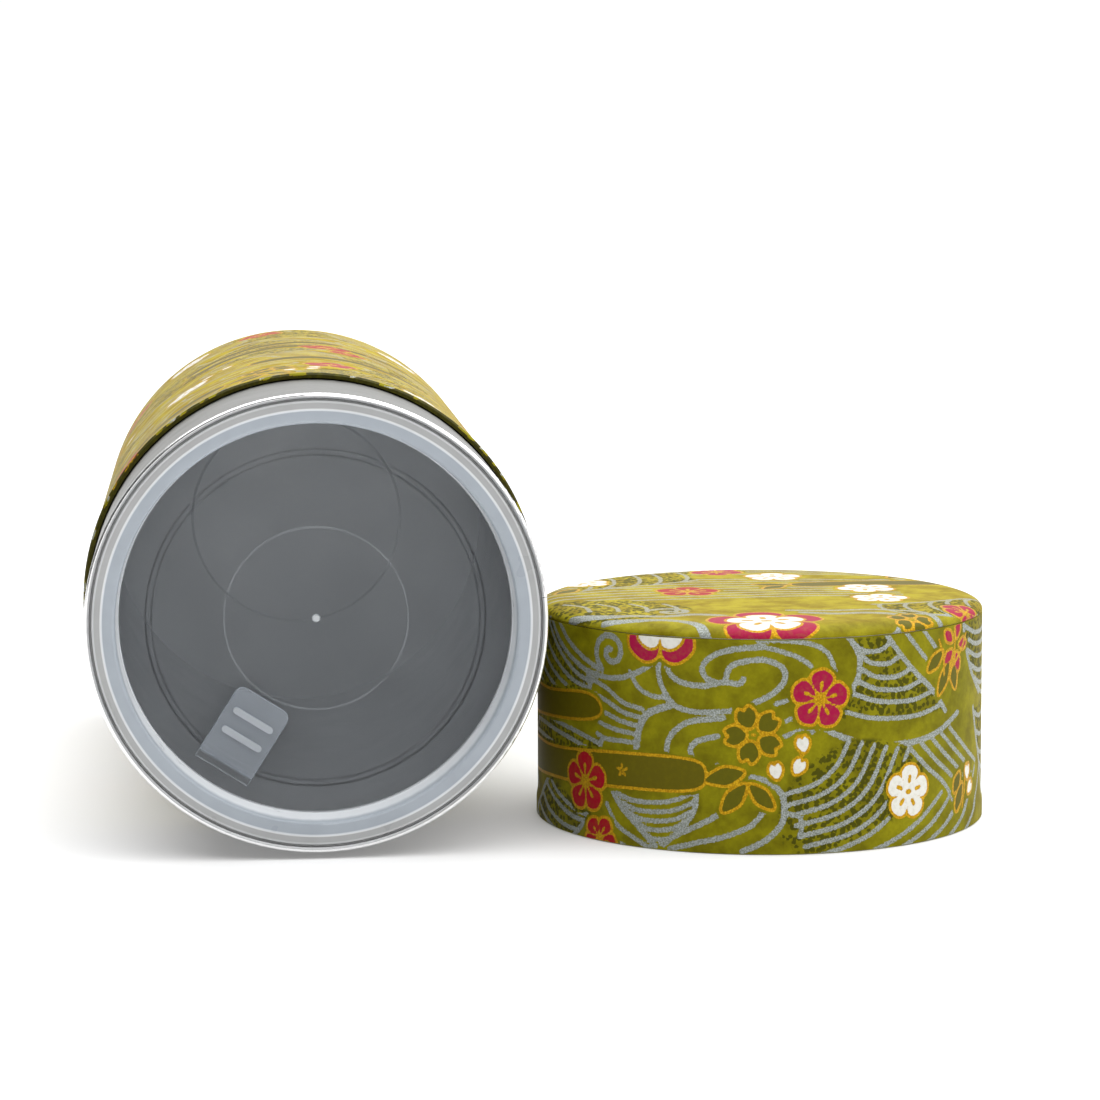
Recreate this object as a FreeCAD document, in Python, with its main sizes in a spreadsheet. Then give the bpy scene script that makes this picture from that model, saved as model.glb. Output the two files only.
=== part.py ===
import FreeCAD, Part
import os
import Sketcher

# A round tea caddy of tinplate covered with printed paper, lying on its side with its cap standing beside it.
# The can: a lining tube whose bare neck ends in a rolled rim, an outer tube with a hemmed edge, a base plate
# that hooks both tubes together, and a sheet of paper glued round the outer tube. The neck is closed by a
# moulded inner lid with a fold-up pull tab. The cap: a hemmed tube, a pressed top, a paper band and a paper disc.
#
# Frame: millimetres, +Z up, origin on the floor in the middle of the whole object.
# The can's axis runs along Y with its mouth towards -Y; the cap stands at +X with its open side down.

SIZES = [
    ("can_length", 154.0, "from the base to the rolled rim"),
    ("body_radius", 38.0, "outside of the paper over a hem, on the can and on the cap"),
    ("neck_length", 28.7, "bare neck that the cap covers"),
    ("tin", 0.25, "tinplate"),
    ("paper", 0.35, "paper with its glue"),
    ("cap_clearance", 0.25, "radial gap between the neck and the cap"),
    ("hem_length", 2.5, "folded edge of the outer tube and of the cap"),
    ("flare_run", 2.0, "length over which the paper climbs onto a hem"),
    ("neck_in", 1.0, "length of the step that draws the lining in to the neck"),
    ("bead", 0.85, "diameter of the rolled rim"),
    ("joint_width", 0.25, "gap where the ends of the rolled rim meet"),
    ("joint_angle", 6.0, "angle of that gap above +X, degrees"),
    ("hook_height", 1.2, "base seam, outside the tubes"),
    ("seam_round", 0.35, "outer corner of the base seam"),
    ("base_recess", 2.5, "how far the base panel lies inside the seam"),
    ("centre_radius", 21.0, "pressed centre of the base panel"),
    ("centre_rise", 0.5, "height of that pressed centre"),
    ("head_room", 6.35, "from the rim to the top of the cap's tube when closed"),
    ("cap_shoulder", 4.5, "width of the rounded shoulder of the cap's pressed top"),
    ("cap_rise", 1.6, "height of that shoulder"),
    ("cap_crown", 0.1, "how much the middle of the cap is domed"),
    ("cap_skirt", 3.0, "edge of the pressed top inside the cap's tube"),
    ("seam_gap", 0.12, "gap between the cap's paper band and its paper disc"),
    ("paper_lift", 0.1, "bare metal left at a paper edge"),
    ("lid_clearance", 0.25, "radial gap between the rolled rim and the inner lid"),
    ("lid_setback", 0.3, "inner lid's face behind the rim"),
    ("flange_width", 3.75, "front ring of the inner lid"),
    ("plastic", 0.9, "wall of the inner lid"),
    ("skirt_length", 8.5, "inner lid, front to back"),
    ("recess_depth", 6.5, "from the front ring to the lid's panel"),
    ("recess_draft", 0.4, "how much the recess narrows towards the panel"),
    ("panel", 0.8, "thickness of the lid's panel at its edge"),
    ("panel_step", 0.2, "step in the panel's face"),
    ("step_margin", 4.3, "from the recess wall to that step"),
    ("ring_radius", 14.8, "fine moulded ring on the panel"),
    ("ring_width", 0.35, "its width"),
    ("ring_height", 0.12, "its height"),
    ("dimple_radius", 1.8, "dimple at the gate"),
    ("dimple_depth", 0.3, "its depth"),
    ("pip_radius", 0.55, "gate mark in the dimple"),
    ("lid_round", 0.45, "rounded edges of the lid's front ring"),
    ("tab_angle", 237.3, "direction from the lid's centre to the tab's hinge, from +X towards +Z, degrees"),
    ("tab_margin", 4.1, "from the recess wall to the tab's hinge"),
    ("tab_width", 9.8, "pull tab"),
    ("tab_length", 12.2, "hinge to tip"),
    ("tab_thickness", 1.0, "pull tab"),
    ("tab_corner", 1.5, "rounding of the tip's corners"),
    ("tab_gap", 0.2, "gap between the tab and the panel, and at the hinge"),
    ("root_length", 1.3, "moulded root that the tab folds on"),
    ("rib_length", 7.3, "grip rib"),
    ("rib_width", 1.1, "grip rib"),
    ("rib_height", 0.35, "grip rib"),
    ("rib_start", 4.3, "hinge to the first grip rib"),
    ("rib_spacing", 3.5, "from rib to rib"),
    ("cap_setback", 32.5, "cap's axis behind the plane of the rim"),
    ("nesting", 0.2, "how far the cap's foot reaches in under the widest line of the can"),
]

doc = FreeCAD.newDocument("TeaCaddy")
sheet = doc.addObject("Spreadsheet::Sheet", "Sizes")
for row, (alias, value, note) in enumerate(SIZES, start=1):
    sheet.set(f"A{row}", alias)
    sheet.set(f"B{row}", str(value))
    sheet.set(f"C{row}", note)
    sheet.setAlias(f"B{row}", alias)
doc.recompute()

# Radii shared by pieces that fit together
HEM_OUTER = "(Sizes.body_radius - Sizes.paper)"
TUBE_OUTER = "(Sizes.body_radius - Sizes.paper - Sizes.tin)"
TUBE_INNER = "(Sizes.body_radius - Sizes.paper - 2 * Sizes.tin)"
PAPER_OUTER = "(Sizes.body_radius - Sizes.tin)"
LINING_INNER = "(Sizes.body_radius - Sizes.paper - 3 * Sizes.tin)"
NECK_OUTER = f"({TUBE_INNER} - Sizes.cap_clearance)"
NECK_INNER = f"({NECK_OUTER} - Sizes.tin)"
LID_OUTER = f"({NECK_OUTER} - Sizes.bead - Sizes.lid_clearance)"
RECESS = f"({LID_OUTER} - Sizes.flange_width)"
PANEL_EDGE = f"({RECESS} - Sizes.recess_draft)"
TAB_HINGE = f"({PANEL_EDGE} - Sizes.tab_margin)"

# Heights along the can, from its base, and up the cap
SHOULDER = "(Sizes.can_length - Sizes.neck_length)"
OUTER_TOP = f"({SHOULDER} - Sizes.paper)"
HEM_START = f"({OUTER_TOP} - Sizes.hem_length)"
CAP_SIDE = "(Sizes.neck_length + Sizes.head_room)"
CAP_PRESSED = f"({CAP_SIDE} + Sizes.cap_rise)"

# Places in the whole object
CAN_X = "-(Sizes.body_radius - Sizes.nesting / 2)"
CAP_X = "(Sizes.body_radius - Sizes.nesting / 2)"
MOUTH_Y = "(-(min(0; Sizes.cap_setback - Sizes.body_radius) + Sizes.can_length) / 2)"


def number(expression):
    """Value of an expression on the sheet's sizes."""
    return float(sheet.evalExpression(expression))


def arc_radius(run, rise):
    """Radius of the arc that starts level and drops by rise over run."""
    return f"(({run}^2 + {rise}^2) / (2 * {rise}))"


def new_body(label):
    body = doc.addObject("PartDesign::Body", label)
    body.Label = label
    return body


def origin_plane(body, role):
    return next(item for item in body.Origin.OriginFeatures if item.Role == role)


def new_sketch(body, name, role):
    sketch = body.newObject("Sketcher::SketchObject", name)
    sketch.AttachmentSupport = [(origin_plane(body, role), "")]
    sketch.MapMode = "FlatFace"
    return sketch


def end_at(sketch, side, point):
    """Which end of a side, 1 or 2, lies at a point."""
    return 1 if sketch.getPoint(side, 1).isEqual(point, 1e-6) else 2


def hold(sketch, kind, side, end, expression):
    """Tie one coordinate of a side's end to an expression."""
    value = number(expression)
    if value == 0 and kind == "DistanceX":
        sketch.addConstraint(Sketcher.Constraint("PointOnObject", side, end, -2))
    elif value == 0:
        sketch.addConstraint(Sketcher.Constraint("PointOnObject", side, end, -1))
    else:
        index = sketch.addConstraint(Sketcher.Constraint(kind, -1, 1, side, end, value))
        sketch.setExpression(f"Constraints[{index}]", expression)


def outline(sketch, corners, arcs=None):
    """Closed outline through corners given as pairs of expressions, in order.

    arcs maps a side's number to (radius expression, bulge). A bulge of 1 curves to the right of the
    direction of travel, and -1 to the left."""
    arcs = arcs or {}
    points = [FreeCAD.Vector(number(across), number(along), 0) for across, along in corners]
    count = len(points)
    for side, start in enumerate(points):
        end = points[(side + 1) % count]
        if side not in arcs:
            sketch.addGeometry(Part.LineSegment(start, end))
            continue
        radius_text, bulge = arcs[side]
        radius = number(radius_text)
        chord = end - start
        reach = (radius ** 2 - (chord.Length / 2) ** 2) ** 0.5
        crest = (start + end) * 0.5 + FreeCAD.Vector(chord.y, -chord.x, 0).normalize() * bulge * (radius - reach)
        sketch.addGeometry(Part.Arc(start, crest, end))
    for side, start in enumerate(points):
        before = (side - 1) % count
        near = end_at(sketch, side, start)
        sketch.addConstraint(Sketcher.Constraint("Coincident", before, end_at(sketch, before, start), side, near))
        hold(sketch, "DistanceX", side, near, corners[side][0])
        hold(sketch, "DistanceY", side, near, corners[side][1])
    for side, (radius_text, bulge) in arcs.items():
        index = sketch.addConstraint(Sketcher.Constraint("Radius", side, number(radius_text)))
        sketch.setExpression(f"Constraints[{index}]", radius_text)


def turned(body, corners, arcs=None):
    """Solid of revolution about the body's Z axis, from an outline of (radius, height) corners."""
    sketch = new_sketch(body, body.Label + "_profile", "XZ_Plane")
    outline(sketch, corners, arcs)
    solid = body.newObject("PartDesign::Revolution", body.Label + "_turned")
    solid.Profile = sketch
    solid.ReferenceAxis = (sketch, ["V_Axis"])
    solid.Angle = 360
    sketch.Visibility = False
    return solid


def ring_edges(feature, radius, height):
    """Names of a feature's circular edges about Z with this radius at this height."""
    found = []
    for index, edge in enumerate(feature.Shape.Edges, start=1):
        curve = edge.Curve
        if isinstance(curve, Part.Circle) and abs(curve.Radius - radius) < 1e-4:
            if abs(curve.Center.z - height) < 1e-4 and abs(curve.Center.x) < 1e-4:
                found.append(f"Edge{index}")
    return found


def rounded(body, name, rings, radius_text):
    """Fillet the circular edges given as (radius, height) expressions."""
    doc.recompute()
    base = body.Tip
    edges = [edge for radius, height in rings for edge in ring_edges(base, number(radius), number(height))]
    fillet = body.newObject("PartDesign::Fillet", name)
    fillet.Base = (base, edges)
    fillet.setExpression("Radius", radius_text)
    return fillet


def place(body, base, turn):
    """Put a body at three expressions, turned as given."""
    body.Placement = FreeCAD.Placement(FreeCAD.Vector(0, 0, 0), turn)
    for axis, expression in zip("xyz", base):
        body.setExpression(f".Placement.Base.{axis}", expression)


LYING = FreeCAD.Rotation(FreeCAD.Vector(1, 0, 0), 90)
UPRIGHT = FreeCAD.Rotation()


def place_on_can(body, forward):
    """Lay a body along the can's axis, its origin this far behind the plane of the rim."""
    place(body, (CAN_X, f"{MOUTH_Y} + {forward}", "Sizes.body_radius"), LYING)


def place_on_cap(body):
    place(body, (CAP_X, f"{MOUTH_Y} + Sizes.cap_setback", "0"), UPRIGHT)


def base_plate():
    """Pressed base: a recessed panel with a raised centre, and a channel that hooks both tubes' ends."""
    body = new_body("base_plate")
    inside = f"({LINING_INNER} - Sizes.tin)"
    rise = "(Sizes.base_recess + Sizes.centre_rise)"
    turned(body, [
        ("0", rise),
        ("Sizes.centre_radius - Sizes.centre_rise", rise),
        ("Sizes.centre_radius", "Sizes.base_recess"),
        (inside, "Sizes.base_recess"),
        (inside, "0"),
        (HEM_OUTER, "0"),
        (HEM_OUTER, "Sizes.hook_height"),
        (TUBE_OUTER, "Sizes.hook_height"),
        (TUBE_OUTER, "Sizes.tin"),
        (LINING_INNER, "Sizes.tin"),
        (LINING_INNER, "Sizes.base_recess + Sizes.tin"),
        ("Sizes.centre_radius + Sizes.tin / 2", "Sizes.base_recess + Sizes.tin"),
        ("Sizes.centre_radius + Sizes.tin / 2 - Sizes.centre_rise", f"{rise} + Sizes.tin"),
        ("0", f"{rise} + Sizes.tin"),
    ])
    rounded(body, "base_seam_round", [(HEM_OUTER, "0")], "Sizes.seam_round")
    place_on_can(body, "Sizes.can_length")


def lining_tube():
    """Inner tube, drawn in to form the bare neck, with its mouth rolled inwards into a bead."""
    body = new_body("lining_tube")
    curl = "Sizes.bead / 2"
    rim_axis = f"(Sizes.can_length - {curl})"
    turned(body, [
        (LINING_INNER, "Sizes.tin"),
        (TUBE_INNER, "Sizes.tin"),
        (TUBE_INNER, f"{SHOULDER} - 2 * Sizes.neck_in"),
        (NECK_OUTER, f"{SHOULDER} - Sizes.neck_in"),
        (NECK_OUTER, rim_axis),
        (f"{NECK_OUTER} - {curl}", "Sizes.can_length"),
        (f"{NECK_OUTER} - Sizes.bead", rim_axis),
        (f"{NECK_OUTER} - {curl}", f"{rim_axis} - {curl}"),
        (NECK_INNER, f"{rim_axis} - {curl}"),
        (NECK_INNER, f"{SHOULDER} - Sizes.neck_in"),
        (LINING_INNER, f"{SHOULDER} - 2 * Sizes.neck_in"),
    ], arcs={4: (curl, 1), 5: (curl, 1), 6: (curl, 1)})
    notch = new_sketch(body, "rim_joint_outline", "XY_Plane")
    notch.AttachmentOffset = FreeCAD.Placement(
        FreeCAD.Vector(0, 0, 0), FreeCAD.Rotation(FreeCAD.Vector(0, 0, 1), number("Sizes.joint_angle")))
    notch.setExpression(".AttachmentOffset.Base.z", "Sizes.can_length")
    outline(notch, [
        (f"{NECK_OUTER} - Sizes.bead", "-Sizes.joint_width / 2"),
        (f"{NECK_OUTER} + Sizes.bead", "-Sizes.joint_width / 2"),
        (f"{NECK_OUTER} + Sizes.bead", "Sizes.joint_width / 2"),
        (f"{NECK_OUTER} - Sizes.bead", "Sizes.joint_width / 2"),
    ])
    cut = body.newObject("PartDesign::Pocket", "rim_joint")
    cut.Profile = notch
    cut.setExpression("Length", curl)
    place(body, (CAN_X, f"{MOUTH_Y} + Sizes.can_length", "Sizes.body_radius"), LYING)


def outer_tube():
    """Tube round the lining from the base seam to the shoulder, its upper edge folded outwards."""
    body = new_body("outer_tube")
    turned(body, [
        (TUBE_INNER, "Sizes.tin"),
        (TUBE_OUTER, "Sizes.tin"),
        (TUBE_OUTER, HEM_START),
        (HEM_OUTER, HEM_START),
        (HEM_OUTER, OUTER_TOP),
        (TUBE_INNER, OUTER_TOP),
    ])
    place_on_can(body, "Sizes.can_length")


def can_paper():
    """Printed paper round the can, flared over the hem and turned in over its edge."""
    body = new_body("can_paper")
    low = "(Sizes.hook_height + Sizes.paper_lift)"
    turned(body, [
        (TUBE_OUTER, low),
        (PAPER_OUTER, low),
        (PAPER_OUTER, f"{HEM_START} - Sizes.flare_run"),
        ("Sizes.body_radius", HEM_START),
        ("Sizes.body_radius", OUTER_TOP),
        (HEM_OUTER, SHOULDER),
        (TUBE_INNER, SHOULDER),
        (TUBE_INNER, OUTER_TOP),
        (HEM_OUTER, OUTER_TOP),
        (HEM_OUTER, HEM_START),
        (TUBE_OUTER, HEM_START),
    ], arcs={4: ("Sizes.paper", 1)})
    place_on_can(body, "Sizes.can_length")


def cap_tube():
    """Side of the cap, its open edge folded outwards."""
    body = new_body("cap_tube")
    turned(body, [
        (TUBE_INNER, "0"),
        (HEM_OUTER, "0"),
        (HEM_OUTER, "Sizes.hem_length"),
        (TUBE_OUTER, "Sizes.hem_length"),
        (TUBE_OUTER, CAP_SIDE),
        (TUBE_INNER, CAP_SIDE),
    ])
    place_on_cap(body)


def cap_top():
    """Pressed top of the cap: a domed disc with a rounded shoulder and a skirt inside the tube."""
    body = new_body("cap_top")
    skirt_inner = f"({TUBE_INNER} - Sizes.tin)"
    flat_edge = f"({TUBE_OUTER} - Sizes.cap_shoulder)"
    crown_top = f"({CAP_PRESSED} + Sizes.cap_crown)"
    bend = arc_radius("Sizes.cap_shoulder", "Sizes.cap_rise")
    inner_bend = f"({bend} - Sizes.tin)"
    bend_foot = f"({CAP_PRESSED} - {bend} + sqrt({inner_bend}^2 - (Sizes.cap_shoulder - 2 * Sizes.tin)^2))"
    dome = arc_radius(flat_edge, "Sizes.cap_crown")
    turned(body, [
        (skirt_inner, f"{CAP_SIDE} - Sizes.cap_skirt"),
        (TUBE_INNER, f"{CAP_SIDE} - Sizes.cap_skirt"),
        (TUBE_INNER, CAP_SIDE),
        (TUBE_OUTER, CAP_SIDE),
        (flat_edge, CAP_PRESSED),
        ("0", crown_top),
        ("0", f"{crown_top} - Sizes.tin"),
        (flat_edge, f"{CAP_PRESSED} - Sizes.tin"),
        (skirt_inner, bend_foot),
    ], arcs={3: (bend, 1), 4: (dome, 1), 6: (dome, -1), 7: (inner_bend, -1)})
    place_on_cap(body)


def cap_paper_disc():
    """Printed paper over the pressed top and its shoulder."""
    body = new_body("cap_paper_disc")
    flat_edge = f"({TUBE_OUTER} - Sizes.cap_shoulder)"
    crown_top = f"({CAP_PRESSED} + Sizes.cap_crown)"
    bend = arc_radius("Sizes.cap_shoulder", "Sizes.cap_rise")
    outer_bend = arc_radius("(Sizes.cap_shoulder + Sizes.paper)", "(Sizes.cap_rise + Sizes.paper)")
    dome = arc_radius(flat_edge, "Sizes.cap_crown")
    turned(body, [
        (TUBE_OUTER, CAP_SIDE),
        (PAPER_OUTER, CAP_SIDE),
        (flat_edge, f"{CAP_PRESSED} + Sizes.paper"),
        ("0", f"{crown_top} + Sizes.paper"),
        ("0", crown_top),
        (flat_edge, CAP_PRESSED),
    ], arcs={1: (outer_bend, 1), 2: (dome, 1), 4: (dome, -1), 5: (bend, -1)})
    place_on_cap(body)


def cap_paper_band():
    """Printed paper round the cap's side, flared over the hem."""
    body = new_body("cap_paper_band")
    turned(body, [
        (HEM_OUTER, "Sizes.paper_lift"),
        ("Sizes.body_radius", "Sizes.paper_lift"),
        ("Sizes.body_radius", "Sizes.hem_length"),
        (PAPER_OUTER, "Sizes.hem_length + Sizes.flare_run"),
        (PAPER_OUTER, f"{CAP_SIDE} - Sizes.seam_gap"),
        (TUBE_OUTER, f"{CAP_SIDE} - Sizes.seam_gap"),
        (TUBE_OUTER, "Sizes.hem_length"),
        (HEM_OUTER, "Sizes.hem_length"),
    ])
    place_on_cap(body)


def inner_lid():
    """Moulded lid: a front ring, a skirt that slides in the neck, and a clear panel sunk inside the ring."""
    body = new_body("inner_lid")
    under_ring = "-Sizes.plastic"
    face = "-Sizes.recess_depth"
    sunk = f"({face} - Sizes.panel_step)"
    back = f"({face} - Sizes.panel)"
    ring_top = f"({sunk} + Sizes.ring_height)"
    dimple = f"({sunk} - Sizes.dimple_depth)"
    turned(body, [
        ("0", back),
        (f"{PANEL_EDGE} + Sizes.plastic", back),
        (f"{RECESS} + Sizes.plastic", under_ring),
        (f"{LID_OUTER} - Sizes.plastic", under_ring),
        (f"{LID_OUTER} - Sizes.plastic", "-Sizes.skirt_length"),
        (LID_OUTER, "-Sizes.skirt_length"),
        (LID_OUTER, "0"),
        (RECESS, "0"),
        (PANEL_EDGE, face),
        (f"{PANEL_EDGE} - Sizes.step_margin", face),
        (f"{PANEL_EDGE} - Sizes.step_margin - Sizes.panel_step", sunk),
        ("Sizes.ring_radius + Sizes.ring_width / 2", sunk),
        ("Sizes.ring_radius + Sizes.ring_width / 2", ring_top),
        ("Sizes.ring_radius - Sizes.ring_width / 2", ring_top),
        ("Sizes.ring_radius - Sizes.ring_width / 2", sunk),
        ("Sizes.dimple_radius", sunk),
        ("Sizes.pip_radius", dimple),
        ("Sizes.pip_radius", sunk),
        ("0", sunk),
    ])
    rounded(body, "lid_ring_round", [(LID_OUTER, "0"), (RECESS, "0"), (PANEL_EDGE, face)], "Sizes.lid_round")
    root = new_sketch(body, "tab_root_outline", "XY_Plane")
    root.AttachmentOffset = FreeCAD.Placement(
        FreeCAD.Vector(0, 0, 0), FreeCAD.Rotation(FreeCAD.Vector(0, 0, 1), number("Sizes.tab_angle")))
    root.setExpression(".AttachmentOffset.Base.z", back)
    outline(root, [
        (f"{TAB_HINGE} + Sizes.tab_gap", "-Sizes.tab_width / 2"),
        (f"{TAB_HINGE} + Sizes.root_length", "-Sizes.tab_width / 2"),
        (f"{TAB_HINGE} + Sizes.root_length", "Sizes.tab_width / 2"),
        (f"{TAB_HINGE} + Sizes.tab_gap", "Sizes.tab_width / 2"),
    ])
    block = body.newObject("PartDesign::Pad", "tab_root")
    block.Profile = root
    block.setExpression("Length", "Sizes.panel + Sizes.tab_gap + Sizes.tab_thickness")
    place_on_can(body, "Sizes.lid_setback")


def pull_tab():
    """Flap with grip ribs, folded flat on the panel. Its own X axis is the hinge, its Y axis runs to the tip."""
    body = new_body("pull_tab")
    half = "Sizes.tab_width / 2"
    tip = "Sizes.tab_length"
    plan = new_sketch(body, "tab_outline", "XY_Plane")
    outline(plan, [
        (f"-{half}", "0"),
        (half, "0"),
        (half, f"{tip} - Sizes.tab_corner"),
        (f"{half} - Sizes.tab_corner", tip),
        (f"-({half} - Sizes.tab_corner)", tip),
        (f"-{half}", f"{tip} - Sizes.tab_corner"),
    ], arcs={2: ("Sizes.tab_corner", 1), 4: ("Sizes.tab_corner", 1)})
    flap = body.newObject("PartDesign::Pad", "flap")
    flap.Profile = plan
    flap.Reversed = True
    flap.setExpression("Length", "Sizes.tab_thickness")
    for rib in range(2):
        low = f"(Sizes.rib_start + {rib} * Sizes.rib_spacing)"
        high = f"({low} + Sizes.rib_width)"
        middle = f"({low} + Sizes.rib_width / 2)"
        straight = "(Sizes.rib_length - Sizes.rib_width) / 2"
        bar = new_sketch(body, f"rib_{rib}_outline", "XY_Plane")
        outline(bar, [
            (f"-{straight}", low),
            (straight, low),
            (f"{straight} + Sizes.rib_width / 2", middle),
            (straight, high),
            (f"-{straight}", high),
            (f"-({straight} + Sizes.rib_width / 2)", middle),
        ], arcs={side: ("Sizes.rib_width / 2", 1) for side in (1, 2, 4, 5)})
        ridge = body.newObject("PartDesign::Pad", f"rib_{rib}")
        ridge.Profile = bar
        ridge.setExpression("Length", "Sizes.rib_height")
    depth = "(Sizes.lid_setback + Sizes.recess_depth - Sizes.tab_gap - Sizes.tab_thickness)"
    place(body, (
        f"{CAN_X} + {TAB_HINGE} * cos(Sizes.tab_angle * 1 deg)",
        f"{MOUTH_Y} + {depth}",
        f"Sizes.body_radius + {TAB_HINGE} * sin(Sizes.tab_angle * 1 deg)",
    ), LYING * FreeCAD.Rotation(FreeCAD.Vector(0, 0, 1), number("Sizes.tab_angle") + 90))


for make in (base_plate, lining_tube, outer_tube, can_paper, cap_tube, cap_top, cap_paper_disc, cap_paper_band,
             inner_lid, pull_tab):
    make()
doc.recompute()

bodies = [item for item in doc.Objects if item.isDerivedFrom("PartDesign::Body")]
for item in doc.Objects:
    if {"Invalid", "Error"} & set(item.State):
        raise SystemExit(f"{item.Label} did not compute: {item.State}")
for body in bodies:
    shape = body.Shape
    if shape.isNull() or not shape.isValid() or len(shape.Solids) != 1:
        raise SystemExit(f"{body.Label} is not one valid solid")

os.makedirs("parts", exist_ok=True)
for body in bodies:
    body.Shape.exportStep(f"parts/{body.Label}.step")
    box = body.Shape.BoundBox
    print(f"{body.Label:16s} {body.Shape.Volume:10.1f} mm3  x {box.XMin:7.2f} {box.XMax:7.2f}"
          f"  y {box.YMin:7.2f} {box.YMax:7.2f}  z {box.ZMin:7.2f} {box.ZMax:7.2f}")
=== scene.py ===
import math

import bpy
import numpy as np
from mathutils import Matrix, Vector


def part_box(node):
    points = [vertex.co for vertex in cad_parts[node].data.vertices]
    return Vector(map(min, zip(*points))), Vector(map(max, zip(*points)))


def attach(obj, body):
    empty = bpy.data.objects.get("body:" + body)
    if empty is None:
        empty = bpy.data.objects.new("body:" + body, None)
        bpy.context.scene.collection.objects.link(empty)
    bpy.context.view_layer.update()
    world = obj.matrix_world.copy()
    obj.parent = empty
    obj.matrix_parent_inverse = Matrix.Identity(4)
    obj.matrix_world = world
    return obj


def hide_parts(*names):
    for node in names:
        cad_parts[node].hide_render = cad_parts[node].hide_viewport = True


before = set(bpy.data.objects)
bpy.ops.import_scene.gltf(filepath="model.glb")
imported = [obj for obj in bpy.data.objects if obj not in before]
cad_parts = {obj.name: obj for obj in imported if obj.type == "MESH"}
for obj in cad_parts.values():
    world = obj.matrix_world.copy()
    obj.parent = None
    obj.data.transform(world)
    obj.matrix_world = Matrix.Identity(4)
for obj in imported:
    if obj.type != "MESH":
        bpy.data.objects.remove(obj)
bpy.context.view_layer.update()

# Looks of the paper-covered tea caddy. The paper's print is drawn in millimetres on a flat sheet, as it
# would be on the roll, and each paper surface is unrolled onto that sheet. Each point of the paper stores
# its distance from the nearest edge of each ink, so the material can draw crisp, slightly rough ink edges.

MM = 0.001


# ---------------------------------------------------------------- places read from the frame

def middle(node):
    low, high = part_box(node)
    return (low + high) / 2


def span(node):
    low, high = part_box(node)
    return high - low


can_axis = middle("lining_tube")
rim_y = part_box("lining_tube")[0].y
cap_axis = middle("cap_tube")

# Sizes in millimetres.
PAPER_RADIUS = span("can_paper").x / 2 / MM    # outside of the paper where it lies over a hem
LID_RADIUS = span("inner_lid").x / 2 / MM
PAPER = 0.35                   # thickness of the paper
TIN = 0.25                     # thickness of the tinplate
HEM_RISE = 0.25                # how far the paper stands out over a hem
PLAIN_RADIUS = PAPER_RADIUS - HEM_RISE
HEM_LENGTH = 2.5
HEM_FLAT = 2.4                 # length of the paper that lies flat on a hem
RIM_DEPTH = 0.65               # length of the can's rolled rim
BEAD_MIDDLE = LID_RADIUS + 0.62    # radius of the rolled rim's crest
RIB_DEPTH = 0.35               # how far the tab's ribs stand out

# The sheet that covers the sides goes round the caddy twice.
SHEET_WIDTH = math.pi * PAPER_RADIUS
SHEET_HEIGHT = 62.0


# ---------------------------------------------------------------- camera

CAMERA_SIDE = -14.2 * MM       # to the right of the can's axis
CAMERA_REACH = 552.0 * MM      # in front of the rim
CAMERA_HEIGHT = 117.9 * MM
CAMERA_YAW = 5.315             # degrees
CAMERA_PITCH = 7.05
CAMERA_ROLL = -0.29
LENS = 114.7
SENSOR = 36.0


def make_camera():
    data = bpy.data.cameras.new("camera")
    data.lens = LENS
    data.sensor_width = SENSOR
    camera = bpy.data.objects.new("camera", data)
    bpy.context.scene.collection.objects.link(camera)
    camera.location = (can_axis.x + CAMERA_SIDE, rim_y - CAMERA_REACH, CAMERA_HEIGHT)
    yaw = Matrix.Rotation(math.radians(-CAMERA_YAW), 4, "Z")
    pitch = Matrix.Rotation(math.radians(90 - CAMERA_PITCH), 4, "X")
    roll = Matrix.Rotation(math.radians(CAMERA_ROLL), 4, "Z")
    camera.rotation_euler = (yaw @ pitch @ roll).to_euler()
    bpy.context.scene.camera = camera


# ---------------------------------------------------------------- material helpers

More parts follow.
